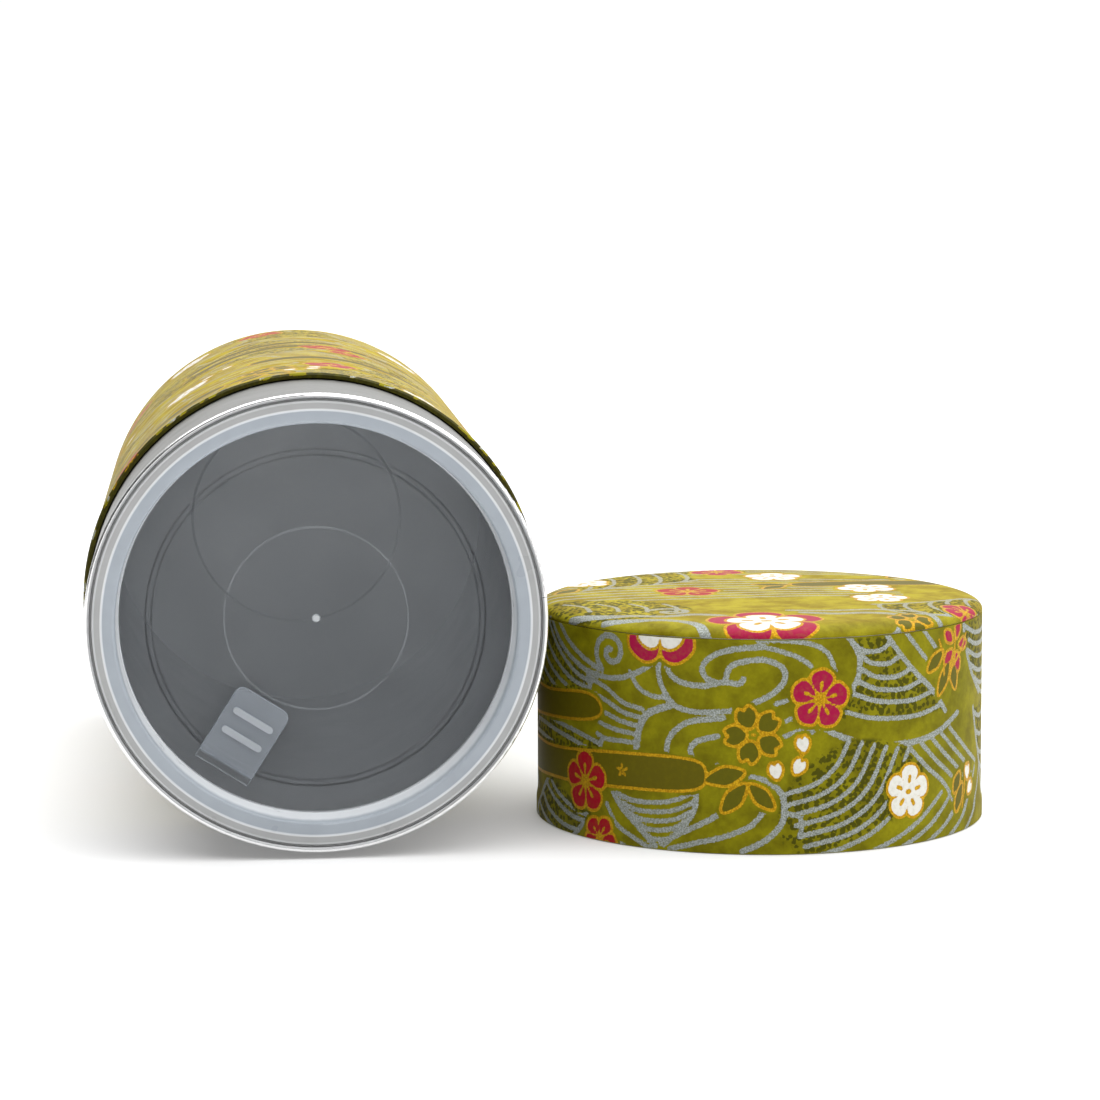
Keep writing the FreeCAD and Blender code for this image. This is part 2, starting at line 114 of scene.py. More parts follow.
class Nodes:
    """Short calls for building one material's node tree."""

    def __init__(self, name):
        self.material = bpy.data.materials.new(name)
        self.material.use_nodes = True
        self.tree = self.material.node_tree
        self.shader = self.tree.nodes["Principled BSDF"]
        coordinates = self.tree.nodes.new("ShaderNodeTexCoord")
        self.place, self.normal = coordinates.outputs["Object"], coordinates.outputs["Normal"]

    def put(self, socket, value):
        """Link a socket to another one, or set its value."""
        if isinstance(value, bpy.types.NodeSocket):
            self.tree.links.new(value, socket)
        elif isinstance(value, tuple) and len(value) == 3 and socket.type == "RGBA":
            socket.default_value = (*value, 1)
        else:
            socket.default_value = value

    def math(self, kind, a, b=0.0, clamp=False):
        node = self.tree.nodes.new("ShaderNodeMath")
        node.operation = kind
        node.use_clamp = clamp
        self.put(node.inputs[0], a)
        self.put(node.inputs[1], b)
        return node.outputs[0]

    def vector(self, kind, a, b=(0, 0, 0)):
        node = self.tree.nodes.new("ShaderNodeVectorMath")
        node.operation = kind
        self.put(node.inputs[0], a)
        self.put(node.inputs[1], b)
        return node.outputs["Value" if kind in ("LENGTH", "DOT_PRODUCT") else "Vector"]

    def ramp(self, value, low, high, start=0.0, end=1.0):
        """start where value is below low, end where it is above high, smooth between."""
        node = self.tree.nodes.new("ShaderNodeMapRange")
        node.interpolation_type = "SMOOTHSTEP"
        for name, number in zip(("Value", "From Min", "From Max", "To Min", "To Max"),
                                (value, low, high, start, end)):
            self.put(node.inputs[name], number)
        return node.outputs["Result"]

    def mix(self, share, a, b):
        """Colour a, or b where share is 1."""
        node = self.tree.nodes.new("ShaderNodeMix")
        node.data_type = "RGBA"
        self.put(node.inputs[0], share)
        self.put(node.inputs[6], a)
        self.put(node.inputs[7], b)
        return node.outputs[2]

    def noise(self, size_mm, detail=2.0, rough=0.5, stretch=None, distortion=0.0):
        """Noise whose grains are about size_mm across, from 0 to 1."""
        node = self.tree.nodes.new("ShaderNodeTexNoise")
        place = self.vector("MULTIPLY", self.place, stretch) if stretch else self.place
        self.put(node.inputs["Vector"], place)
        node.inputs["Scale"].default_value = 1 / (size_mm * MM)
        node.inputs["Detail"].default_value = detail
        node.inputs["Roughness"].default_value = rough
        node.inputs["Distortion"].default_value = distortion
        return node.outputs["Fac"]

    def spots(self, size_mm):
        """Distance from the nearest of random points about size_mm apart, 0 at a point."""
        node = self.tree.nodes.new("ShaderNodeTexVoronoi")
        self.put(node.inputs["Vector"], self.place)
        node.inputs["Scale"].default_value = 1 / (size_mm * MM)
        return node.outputs["Distance"]

    def from_axis(self, axis):
        """Radius from a line along Y through a point, and the outward direction."""
        away = self.vector("MULTIPLY", self.vector("SUBTRACT", self.place, axis), (1, 0, 1))
        return self.vector("LENGTH", away), away

    def facing_axis(self, axis):
        """1 on faces that look towards a line along Y through a point, and aren't nearly edge on to it."""
        outward = self.vector("DOT_PRODUCT", self.from_axis(axis)[1], self.normal)
        return self.math("LESS_THAN", outward, -4 * MM)

    def along_y(self, vector):
        node = self.tree.nodes.new("ShaderNodeSeparateXYZ")
        self.put(node.inputs[0], vector)
        return node.outputs["Y"]

    def grazing(self):
        """0 where a face is seen straight on, 1 where it is seen edge on."""
        node = self.tree.nodes.new("ShaderNodeLayerWeight")
        node.inputs["Blend"].default_value = 0.5
        return node.outputs["Facing"]

    def stored(self, name, output="Fac"):
        """What is stored at the points of the mesh."""
        node = self.tree.nodes.new("ShaderNodeAttribute")
        node.attribute_name = name
        return node.outputs[output]

    def bump(self, height, depth_mm, strength=1.0):
        node = self.tree.nodes.new("ShaderNodeBump")
        node.inputs["Strength"].default_value = strength
        node.inputs["Distance"].default_value = depth_mm * MM
        self.put(node.inputs["Height"], height)
        self.put(self.shader.inputs["Normal"], node.outputs["Normal"])

    def set(self, **values):
        """Set the shader's inputs, with _ for a space in their names."""
        for name, value in values.items():
            self.put(self.shader.inputs[name.replace("_", " ")], value)


# ---------------------------------------------------------------- the print, in millimetres

FAR = 9.0                      # distance stored where an ink is nowhere near
GOLD_EDGE = 0.5                # width of the gold outline round a motif
HALO = 0.5                     # bare paper kept between that outline and a silver line

MAGENTA = (0.31, 0.005, 0.045)
RED = (0.31, 0.003, 0.014)
WHITE = (0.66, 0.65, 0.60)
OLIVE = (0.095, 0.085, 0.003)
BAR = (0.10, 0.082, 0.002)
# painted shade for the can paper's turned-in fold, kept with the inks
FOLD_SHADE_COLOUR = (0.035, 0.032, 0.004)


def smooth(points, closed=False, steps=6):
    """Points on a Catmull-Rom curve through the given points."""
    points = np.asarray(points, float)
    if closed:
        padded = np.vstack([points[-1:], points, points[:2]])
    else:
        padded = np.vstack([2 * points[0] - points[1], points, 2 * points[-1] - points[-2]])
    t = np.linspace(0, 1, steps, endpoint=False)[:, None]
    out = []
    for a, b, c, d in zip(padded, padded[1:], padded[2:], padded[3:]):
        out.append(0.5 * (2 * b + (c - a) * t + (2 * a - 5 * b + 4 * c - d) * t ** 2
                          + (3 * b - a - 3 * c + d) * t ** 3))
    out = np.vstack(out)
    return out if closed else np.vstack([out, points[-1:]])


def turned(points, angle):
    c, s = math.cos(math.radians(angle)), math.sin(math.radians(angle))
    return np.asarray(points, float) @ np.array([[c, s], [-s, c]])


def nearest(places, line):
    """Distance of each place from a polyline."""
    start, step = line[:-1], np.diff(line, axis=0)
    share = ((places[:, None] - start) * step).sum(2) / np.maximum((step ** 2).sum(1), 1e-9)
    foot = start + np.clip(share, 0, 1)[..., None] * step
    return np.sqrt(((places[:, None] - foot) ** 2).sum(2).min(1))


def inside(places, ring):
    """True for each place inside a closed ring."""
    x, y = places[:, :1], places[:, 1:]
    a, b = ring, np.roll(ring, -1, axis=0)
    crosses = (a[:, 1] > y) != (b[:, 1] > y)
    rise = np.where(b[:, 1] == a[:, 1], 1e-9, b[:, 1] - a[:, 1])
    return (crosses & (x < a[:, 0] + (y - a[:, 1]) / rise * (b[:, 0] - a[:, 0]))).sum(1) % 2 == 1


class Print:
    """The inks at a set of places on the sheet. Motifs drawn later lie over those drawn earlier."""

    def __init__(self, places, offsets):
        self.places = places
        self.offsets = offsets
        count = len(places)
        self.silver = np.full(count, FAR)
        self.gold = np.full(count, FAR)
        self.fill = np.full(count, FAR)
        self.stipple = np.full(count, FAR)
        self.ink = np.tile(np.array(WHITE), (count, 1))

    def near(self, line, margin):
        """For each repeat of the sheet, the places near a line and the line moved there."""
        for offset in self.offsets:
            moved = line + offset
            low, high = moved.min(0) - margin, moved.max(0) + margin
            found = np.flatnonzero(((self.places > low) & (self.places < high)).all(1))
            if len(found):
                yield found, moved

    def line(self, points, width=0.75, ink="silver"):
        """A line of ink through points."""
        line = smooth(points)
        layer = getattr(self, ink)
        for found, moved in self.near(line, width + 1.5):
            layer[found] = np.minimum(layer[found], nearest(self.places[found], moved) - width / 2)

    def distance(self, found, ring):
        """Signed distance from a closed ring, negative inside."""
        away = nearest(self.places[found], np.vstack([ring, ring[:1]]))
        return np.where(inside(self.places[found], ring), -away, away)

    def wipe(self, ring):
        """Take the silver and the stipple out of a region."""
        for found, moved in self.near(ring, 1.0):
            away = self.distance(found, moved)
            self.silver[found] = np.maximum(self.silver[found], -away)
            self.stipple[found] = np.maximum(self.stipple[found], -away)

    def dots(self, ring):
        """Stipple a region."""
        for found, moved in self.near(ring, 2.0):
            self.stipple[found] = np.minimum(self.stipple[found], self.distance(found, moved))

    def stippled(self, points):
        """Stipple on clean paper inside a smooth outline."""
        ring = smooth(points, closed=True)
        self.wipe(ring)
        self.dots(ring)

    def clear(self, ring):
        """Take earlier motifs out of a region and a gold line's width round it."""
        for found, moved in self.near(ring, 2.5):
            away = self.distance(found, moved)
            self.fill[found] = np.maximum(self.fill[found], GOLD_EDGE - away)
            self.gold[found] = np.maximum(self.gold[found], -away)

    def patch(self, ring, colour):
        """A filled motif with a gold outline."""
        for found, moved in self.near(ring, 2.5):
            away = self.distance(found, moved)
            self.silver[found] = np.maximum(self.silver[found], GOLD_EDGE + HALO - away)
            mine = away < self.fill[found]
            self.fill[found] = np.minimum(self.fill[found], away)
            self.ink[found[mine]] = colour

    # ------------------------------------------------ motifs

    def fan(self, left, right, count, sag, dotted=True, width=0.75, upto=1.0):
        """A wave: two rails with sagging lines between them, down to a share of the rails' length."""
        left, right = smooth(left), smooth(right)
        ring = np.vstack([left, right[::-1]])
        self.wipe(ring)
        if dotted:
            self.dots(ring)
        for rail in (left, right):
            self.line(rail[::3], width * 1.15)
        for share in (np.arange(count) + 0.5) / count * upto:
            a = left[int(share * (len(left) - 1))]
            b = right[int(share * (len(right) - 1))]
            across = b - a
            drop = np.array([across[1], -across[0]]) / max(np.hypot(*across), 1e-9) * sag
            self.line([a, a + across * 0.3 + drop * 0.85, a + across * 0.7 + drop * 0.85, b], width)

    def curl(self, centre, radius, turns, start, width):
        """A spiral that opens from its centre."""
        steps = np.linspace(0.12, 1, int(turns * 9))
        angle = math.radians(start) + steps * turns * 2 * math.pi
        outward = np.stack([np.cos(angle), np.sin(angle)], 1)
        self.line(np.array(centre) + (radius * steps)[:, None] * outward, width)

    def flower(self, centre, radius, turn, colour, petal, stamens=None):
        """Five petals round a centre. petal is an outline about its own axis, for a flower of radius 1."""
        angles = [turn + 72 * step for step in range(5)]
        petals = [smooth(turned(petal, angle) * radius + centre, closed=True) for angle in angles]
        for ring in petals:
            self.clear(ring)
        for angle, ring in zip(angles, petals):
            self.patch(ring, colour)
            if stamens:
                thread = turned([(0.05, 0), (stamens, 0)], angle) * radius + centre
                tip = turned([(stamens, 0), (stamens + 0.1, 0)], angle) * radius + centre
                self.line(thread, 0.08 * radius, "gold")
                self.line(tip, 0.13 * radius, "gold")
        self.line(np.array([(-0.04, 0), (0.04, 0)]) * radius + centre, 0.12 * radius, "gold")

    def plum(self, centre, radius, turn, colour):
        self.flower(centre, radius, turn, colour,
                    [(0.2, 0), (0.5, 0.31), (0.8, 0.36), (1.0, 0.0), (0.8, -0.36), (0.5, -0.31)], 0.46)

    def cherry(self, centre, radius, turn, colour):
        self.flower(centre, radius, turn, colour,
                    [(0.28, 0), (0.62, 0.33), (1.0, 0.2), (0.86, 0.0), (1.0, -0.2), (0.62, -0.33)])

    def open_plum(self, centre, radius, turn, colour):
        """One outline with five round lobes."""
        lobe = [(0.44, -0.31), (0.76, -0.43), (1.03, -0.22), (1.03, 0.22), (0.76, 0.43)]
        lobes = np.vstack([turned(lobe, turn + 72 * step) for step in range(5)])
        ring = smooth(lobes * radius + centre, closed=True)
        self.clear(ring)
        self.patch(ring, colour)

    def white_plum(self, centre, radius, turn):
        """A white flower with gold dots."""
        self.open_plum(centre, radius, turn, WHITE)
        for step in range(5):
            spot = turned([(0.42, 0), (0.6, 0)], turn + 72 * step) * radius + centre
            self.line(spot, 0.17 * radius, "gold")
        self.line(np.array([(-0.06, 0), (0.06, 0)]) * radius + centre, 0.2 * radius, "gold")

    def double_plum(self, centre, radius, turn):
        """A magenta flower with a white one on it."""
        self.open_plum(centre, radius, turn, MAGENTA)
        self.white_plum(centre, radius * 0.68, turn)

    def leaf(self, root, tip, width, colour=OLIVE):
        root, tip = np.array(root, float), np.array(tip, float)
        along = tip - root
        side = np.array([-along[1], along[0]]) / np.hypot(*along) * width / 2
        low, wide = root + along * 0.3, root + along * 0.6
        outline = [root, low + side * 0.8, wide + side, tip, wide - side, low - side * 0.8]
        self.patch(smooth(outline, closed=True), colour)

    def heart(self, centre, radius, turn):
        """A single fallen petal."""
        outline = [(-0.9, 0), (0.1, 0.75), (0.95, 0.4), (0.6, 0), (0.95, -0.4), (0.1, -0.75)]
        self.patch(smooth(turned(outline, turn) * radius + np.array(centre), closed=True), WHITE)

    def bar(self, ring):
        self.patch(smooth(ring, closed=True), BAR)


def left_waves(sheet):
    """Waves at the left, partly under the bars."""
    line, fan = sheet.line, sheet.fan
    fan([(-50, 35.5), (-54, 31), (-58, 27), (-62, 22)],
        [(-36.5, 26.4), (-37.5, 24.2), (-39, 21.6), (-42, 19)], 6, 1.4)
    fan([(-56, 19), (-60, 15), (-63, 9)], [(-34, 17), (-36, 12), (-38, 8)], 5, -0.8)
    fan([(-50, 9), (-55, 5), (-61, -1)], [(-36, 4.4), (-40, 1), (-46, -4)], 5, 1.0)
    for step in range(5):
        line([(-37.5 + 0.6 * step, 27 - 2.3 * step), (-33, 25.6 - 2.1 * step), (-29.5, 23.6 - 1.6 * step),
              (-25.5 - 0.4 * step, 22.8 - 1.4 * step)])
    line([(-49, 35), (-46, 32), (-42, 29.6), (-37, 27.8), (-31, 27.4), (-26, 29), (-22.5, 31.5)], 0.85)
    line([(-46, 35), (-43, 32.4), (-39, 30.2), (-35, 28.6)], 0.85)
    sheet.curl((-32, 31.6), 3.6, 1.6, 20, 1.0)


def middle_lines(sheet):
    """Flowing lines in the middle."""
    line = sheet.line
    line([(-22.5, 31.5), (-22.5, 28.5), (-21.5, 26), (-19.5, 23.8), (-16, 23), (-12, 23.2), (-8.5, 23.6)],
         0.85)
    line([(-28, 28.8), (-26.5, 26.5), (-24, 25.2), (-20.8, 25)])
    line([(-21.5, 31.5), (-20.5, 29), (-18.5, 27.7), (-15, 27.3), (-11.5, 28), (-9, 27.8), (-8.2, 28.6)],
         0.9)
    line([(-5, 33.8), (-9.5, 33.4), (-13, 32.4), (-15, 30.4), (-14.4, 28.7), (-12.5, 27.8)], 0.9)
    line([(-11.2, 28), (-10.5, 30.4), (-8.2, 31.4), (-5, 31.7), (-2.2, 30.6), (-1.6, 28.5), (-3.6, 26.2),
          (-7, 24.5)], 0.9)
    line([(-6, 34), (-2, 33), (1, 31.8), (3.2, 30.2)])
    line([(-6, 34.8), (-2, 34.8), (2.5, 34.2), (5.4, 32.6), (6.8, 29.5)])
    line([(-20.5, 23.8), (-24.5, 22.2), (-26.2, 19.5), (-26.8, 15.8)], 1.15)
    line([(-11.5, 22.2), (-17, 21.4), (-20, 19.4), (-21, 17.4), (-21, 15.4)], 0.9)
    line([(-12.5, 19.2), (-15.8, 18.3), (-17, 16.9), (-16.4, 15.2)], 0.9)
    line([(-2.2, 21.6), (0.4, 22.4)])
    line([(-3, 24.6), (0.5, 25.6)])
    line([(-2.4, 19), (1, 20.2), (3, 19.9)])
    line([(-12.5, 14.6), (-10.4, 13.9)])


def low_wave(sheet):
    """The wave under the long bar, and the lines that leave it."""
    line, fan = sheet.line, sheet.fan
    fan([(-32, 9.2), (-30, 6.4), (-26.5, 3.6), (-23, 0.6)],
        [(-16, 10.6), (-16.2, 7.4), (-18, 4.4), (-21.5, 1)], 5, 1.8, dotted=False, upto=0.85)
    line([(-33, 6.5), (-31, 3.6), (-27, 1.5), (-24, 0.2)])
    line([(-34.5, 3.5), (-32, 1.3), (-29, 0)])
    line([(-22, 1.2), (-18, 3.4), (-14, 5.4), (-11, 7.4)], 0.85)
    line([(-20.5, 0.4), (-15.5, 1.8), (-11, 3), (-7, 4.8), (-5, 7)], 0.85)


def right_wave(sheet):
    """The large wave at the right: a fan above, long rising lines below."""
    line, fan = sheet.line, sheet.fan
    fan([(9, 35), (10.8, 32.2), (10.8, 28.8), (9.4, 26), (7, 21.6)],
        [(16, 35), (19, 31.4), (22.5, 28), (26.5, 24.8), (30, 21)], 6, 1.6)
    line([(4, 20.8), (9, 18.5), (15, 17.2), (22, 16.9), (28, 17.9), (34, 20.2)], 0.95)
    sheet.stippled([(-2, 10), (9, 18.4), (22, 15.6), (24, 10), (17, 4), (0, 0)])
    for step in range(6):
        line([(-1.8 + 0.7 * step, 9.8 - 1.7 * step), (3.4 + 1.4 * step, 11.4 - 1.6 * step),
              (7 + 1.9 * step, 14.2 - 1.3 * step), (9.2 + 2.3 * step, 18.2 - 0.5 * step)])
    line([(-4, -0.6), (4, -0.2), (12, 2.2), (18, 5.6)])
    line([(-8, 12.8), (-5, 12.2), (-2.4, 10.4), (-1.6, 7.8), (-2.2, 4.8), (-5, 2.2), (-8.4, 0.6)], 0.95)
    line([(-1.4, 6.8), (0.8, 6.2), (1.2, 4.6), (0.8, 3)])
    line([(20, 35), (24.5, 30.4), (27, 28.4)])
    line([(24, 35), (28, 31), (33, 27)])


def far_waves(sheet):
    """Waves beyond the large one."""
    line, fan = sheet.line, sheet.fan
    for step in range(5):
        line([(21 + 2.6 * step, 16 + 0.5 * step), (25 + 2.4 * step, 12.4 + 0.8 * step),
              (30 + 2.2 * step, 8.8 + step), (33 + 2.4 * step, 5.2 + 1.4 * step)])
        line([(12 + 6 * step, -0.6), (18 + 5.6 * step, 1.4 + 0.2 * step), (24 + 5 * step, 4.2 + 0.4 * step),
              (29 + 4.4 * step, 7.6 + 0.7 * step)])
    fan([(36, 35), (37, 31), (40, 26), (45, 22)], [(56, 35), (57, 31), (59, 26), (62, 22)], 6, 2.2)
    fan([(41, 20), (43, 15), (46, 10), (50, 4)], [(54, 21), (56, 16), (58, 10), (60, 5)], 5, 1.8)


def upper_waves(sheet):
    """The upper half of the sheet, which the cap's side doesn't reach: rippled lines, then four waves."""
    ripples = np.arange(-12, 13)
    for step in range(11):
        height = 38.4 + 2.15 * step + 1.7 * np.sin(ripples * math.pi / 4 + 0.4 * step)
        sheet.line(np.stack([ripples * SHEET_WIDTH / 24, height], 1))
    for step in range(4):
        x = 30 * step
        sheet.fan([(x - 58, 58), (x - 54, 52), (x - 53, 46), (x - 56, 39)],
                  [(x - 40, 60), (x - 36, 53), (x - 34, 46), (x - 30, 40)], 6, 2.0, dotted=step % 2 == 0)
        sheet.line([(x - 30, 40), (x - 40, 37), (x - 50, 37.4), (x - 56, 39)], 0.95)
        sheet.curl((x - 46, 57), 3.4, 1.5, 60 * step, 0.95)


def bars(sheet):
    """Long bars, with a small blossom pressed into one of them."""
    sheet.bar([(-64, 13), (-48, 13.6), (-30, 15), (-17, 15), (-14.6, 12.7), (-17, 10.4), (-30, 9.8),
               (-48, 9), (-64, 8.6)])
    sheet.bar([(-64, 22.6), (-50, 23), (-38, 24), (-34.4, 22.2), (-37, 20.2), (-50, 19), (-64, 18.4)])
    sheet.bar([(-8, 44), (6, 45), (20, 45), (22.4, 42.8), (20, 40.6), (6, 40), (-8, 39.6)])
    for step in range(5):
        spot = turned([(0.5, 0), (1.0, 0)], 72 * step + 20) + (-29.6, 12.4)
        sheet.line(spot, 0.5, "gold")


def leaves(sheet):
    """Leaves and the stalks between them."""
    sheet.leaf((-14.4, 12), (-8.2, 13.4), 2.6)
    sheet.leaf((-7.9, 11.4), (-11.6, 7), 2.4)
    sheet.leaf((-7.2, 11.4), (-3.4, 7.6), 2.2)
    for root, tip in (((29, 31), (25.2, 28.2)), ((31, 29), (28, 24)), ((32, 29), (33, 24.4)),
                      ((35, 10), (33, 7)), ((36, 8), (33.6, 3.8)), ((24, 43), (29, 46)),
                      ((24, 42), (29, 39))):
        sheet.leaf(root, tip, 1.9)
    for foot, tip in (((31, 26), (33, 34)), ((29.5, 27), (28, 33)), ((32, 28), (37, 33)),
                      ((36, 4), (37, 10))):
        bend = ((foot[0] + tip[0]) / 2 + 0.6, (foot[1] + tip[1]) / 2)
        sheet.line([foot, bend, tip], 0.5, "gold")


def blossoms(sheet):
    """Scattered blossoms and fallen petals."""
    sheet.cherry((-6.6, 19.6), 4.5, 112, OLIVE)
    for centre, turn in (((1.4, 17.9), 100), ((0.7, 14.3), 60), ((-3, 13.6), 100)):
        sheet.heart(centre, 1.35, turn)
    for centre, turn in (((38.2, 9.6), 90), ((39.4, 6.8), 40), ((-18, 50), 30), ((-14, 53), 80)):
        sheet.heart(centre, 1.3, turn)
    sheet.plum((4.2, 25.2), 4.7, 84, MAGENTA)
    sheet.plum((-38.2, 9.4), 5.0, 92, RED)
    sheet.plum((-34.4, 0.6), 3.6, 60, RED)
    sheet.plum((40, 45), 4.8, 20, MAGENTA)
    sheet.plum((-50, 55), 4.6, 50, RED)
    for step in range(5):
        across, up = math.cos(1.25 * step), math.sin(1.25 * step)
        sheet.leaf((33 + 1.3 * across, 31.5 + 1.3 * up), (33 + 4 * across, 31.5 + 4.4 * up), 1.6, MAGENTA)
    for centre, radius, turn in (((20.8, 8.8), 4.1, 84), ((-22, 44), 4.2, 30), ((54, 52), 4.4, 10)):
        sheet.white_plum(centre, radius, turn)


def side_print(sheet):
    """The sheet that covers the sides, from the waves up to the blossoms that lie over them."""
    for draw in (left_waves, middle_lines, low_wave, right_wave, far_waves, upper_waves,
                 bars, leaves, blossoms):
        draw(sheet)


def disc_print(sheet):
    """The sheet on the cap's top, about its centre, its lower edge facing the cap's front."""
    line, fan = sheet.line, sheet.fan
    for step in range(9):
        line([(-38, -10 + 3.4 * step), (-24, -5 + 3.2 * step), (-8, -3.4 + 3 * step),
              (10, -2.6 + 2.7 * step), (24, -5 + 2.6 * step)], 0.9)
    for step in range(5):
        line([(-30 + 5 * step, 27 + 1.6 * step), (-8, 27.5 + 1.8 * step), (14, 25.5 + 2 * step),
              (31 - 3 * step, 20 + 3 * step)])

    # swirls at the front left, with stippled waves behind them
    sheet.stippled([(-37, -6), (-28, -3.4), (-20, -6), (-13.5, -14), (-16, -22), (-24, -25), (-33, -20)])
    for step in range(4):
        line([(-34 + 5.5 * step, -7 - 0.8 * step), (-31 + 5 * step, -11 - step),
              (-30.5 + 4.6 * step, -16 - step)])
    sheet.curl((-17.6, -18.4), 3.8, 1.3, 40, 1.3)
    line([(-34, -17), (-28, -21.4), (-23.4, -22.4), (-19, -23.6), (-14, -22), (-9, -24.6), (-7, -29)], 1.9)
    line([(-29, -23.6), (-24, -26), (-19, -27.6), (-15, -31.6), (-14, -37)], 1.6)

    # swirl and waves at the front right
    fan([(17, -14), (24, -13), (31, -10), (37, -6)],
        [(20, -25), (25, -25), (31, -21.6), (36, -15)], 5, 1.6)
    line([(4, -22), (9, -24), (14, -23.4), (18.6, -25.6), (19.4, -30.4), (17, -37)], 1.9)
    line([(2, -19.4), (9, -20.4), (16, -20), (22, -22.6), (26, -28)], 1.3)
    sheet.curl((24, 15), 4.4, 1.6, 200, 1.1)
    fan([(-30, 8), (-24, 12), (-16, 15), (-8, 20)], [(-29, 22), (-22, 27), (-15, 30), (-8, 32)], 5, 1.5)

    sheet.bar([(10, 14), (22, 15), (34, 14), (35, 11.6), (33, 9.4), (22, 10), (10, 9.6), (7.6, 12)])
    sheet.cherry((20.5, -29.5), 3.6, 20, OLIVE)
    for root, tip in (((7, 12), (1, 13)), ((6, 11), (2, 7)), ((30, 24), (26, 19)), ((-34, 6), (-30, 11))):
        sheet.leaf(root, tip, 2.4)
    sheet.plum((-11.5, 5.5), 5.4, 10, RED)
    sheet.plum((-3, 31), 4.6, 50, MAGENTA)
    sheet.plum((31.6, -19.6), 4.2, 70, MAGENTA)
    for centre, radius, turn in (((19.5, 6), 4.6, 40), ((19.6, -6.4), 4.4, 75), ((6, 23), 4.6, 12),
                                 ((-28, 19), 4.2, 30)):
        sheet.white_plum(centre, radius, turn)
    sheet.double_plum((-3.5, -30.6), 8.8, 92)


# ---------------------------------------------------------------- paper surfaces

GRAIN = 0.36                   # spacing of the points that hold the print on the cap, mm
SIDE_GRAIN = 0.56              # and on the can
PINHOLE = 0.01                 # the disc's mesh ends this far from its centre, mm
SHOULDER_RUN = 4.85            # width of the cap's rounded shoulder, mm
SHOULDER_STEPS = 12
DOME_RISE = 0.1                # how far the cap's top rises from its shoulder to its centre, mm
DOME_BEND = (20, 0.03)         # radius where the dome bends down, and how far below its centre, mm

# How the paper comes down off a hem: the share of the hem's rise that is left, and how far along, mm.
HEM_SLOPE = ((0.84, 3.1), (0.12, 4.1), (0, 4.6))

# The can paper's rounded fold at the shoulder: how far inside its radius, and how far behind its front, mm.
FOLD = ((0.45, 0), (0.3, 0.03), (0.1, 0.12), (0, PAPER))

FOLD_SHADE_FILL = -0.3                 # distance stored where the paper by the can's fold is painted dark with shade
FOLD_SHADE_WIDTH = 0.9               # mean width of that painted shade, mm
FOLD_WAVE = 0.45               # how far each set of wrinkles moves it, mm
WRINKLES = ((31, 0), (47, 1), (83, 2), (13, 0))    # how many go round, and where they start
ROW_SHIFT = 43.0               # sideways shift of each row of sheets on the can, mm


def angles_round(grain):
    """Angles round the caddy whose points lie grain apart on the paper."""
    return np.linspace(-math.pi, math.pi, int(2 * SHEET_WIDTH / grain), endpoint=False)


def unrolled(angle, height):
    """Where the points of a side paper lie on the flat sheet, row by row."""
    across, along = np.meshgrid(angle * PAPER_RADIUS, height)
    return np.stack([across.ravel(), along.ravel()], 1)


def hem_to_plain(flat_end, hem_edge):
    """Outside of a paper as it comes down off a hem whose fold is at hem_edge."""
    slope = [(PLAIN_RADIUS + share * HEM_RISE, hem_edge + along) for share, along in HEM_SLOPE]
    return [(PAPER_RADIUS, flat_end), *slope]


def cross(points, steps):
    """Points spaced evenly along a polyline of (radius, height), and the length up to each."""
    points = np.asarray(points, float)
    run = np.concatenate([[0], np.cumsum(np.hypot(*np.diff(points, axis=0).T))])
    at = np.linspace(0, run[-1], steps)
    return np.stack([np.interp(at, run, points[:, 0]), np.interp(at, run, points[:, 1])], 1), at


def shell(name, outer, back, angle, place, inks, shaded_rows=0):
    """A turned sheet of paper: a fine printed face, and a plain back that closes it.

    outer and back are (radius, height) rows, place turns (radius, angle, height) into a point in the frame.
    The last rows of the back, their number given by the last argument, are a turned-in edge painted dark
    with shade."""
    profile = np.vstack([outer, back])
    rows, around = len(profile), len(angle)
    radius, height = profile[:, 0][:, None], profile[:, 1][:, None]
    points = place(radius, angle[None, :], np.broadcast_to(height, (rows, around))).reshape(-1, 3)
    row, column = np.meshgrid(np.arange(rows), np.arange(around), indexing="ij")
    after, beside = (row + 1) % rows, (column + 1) % around
    corners = [row * around + column, row * around + beside, after * around + beside,
               after * around + column]
    faces = np.stack(corners, -1).reshape(-1, 4)
    mesh = bpy.data.meshes.new(name)
    mesh.vertices.add(len(points))
    mesh.vertices.foreach_set("co", (points * MM).astype(np.float32).ravel())
    mesh.loops.add(faces.size)
    mesh.loops.foreach_set("vertex_index", faces.astype(np.int32).ravel())
    mesh.polygons.add(len(faces))
    mesh.polygons.foreach_set("loop_start", np.arange(0, faces.size, 4, dtype=np.int32))
    mesh.update(calc_edges=True)
    mesh.validate()
    for layer in ("silver", "gold", "fill", "stipple"):
        values = np.full(len(points), FAR)
        values[:len(outer) * around] = getattr(inks, layer)
        # the turned-in edge is painted dark with shade
        if shaded_rows and layer == "fill":
            values[-shaded_rows * around:] = FOLD_SHADE_FILL
        mesh.attributes.new(layer, "FLOAT", "POINT").data.foreach_set("value", values.astype(np.float32))
    colours = np.ones((len(points), 4))
    colours[:len(outer) * around, :3] = inks.ink
    if shaded_rows:
        colours[-shaded_rows * around:, :3] = FOLD_SHADE_COLOUR
    ink = mesh.attributes.new("ink", "FLOAT_COLOR", "POINT")
    ink.data.foreach_set("color", colours.astype(np.float32).ravel())
    mesh.polygons.foreach_set("use_smooth", np.ones(len(faces), bool))
    piece = bpy.data.objects.new(name, mesh)
    bpy.context.scene.collection.objects.link(piece)
    return piece


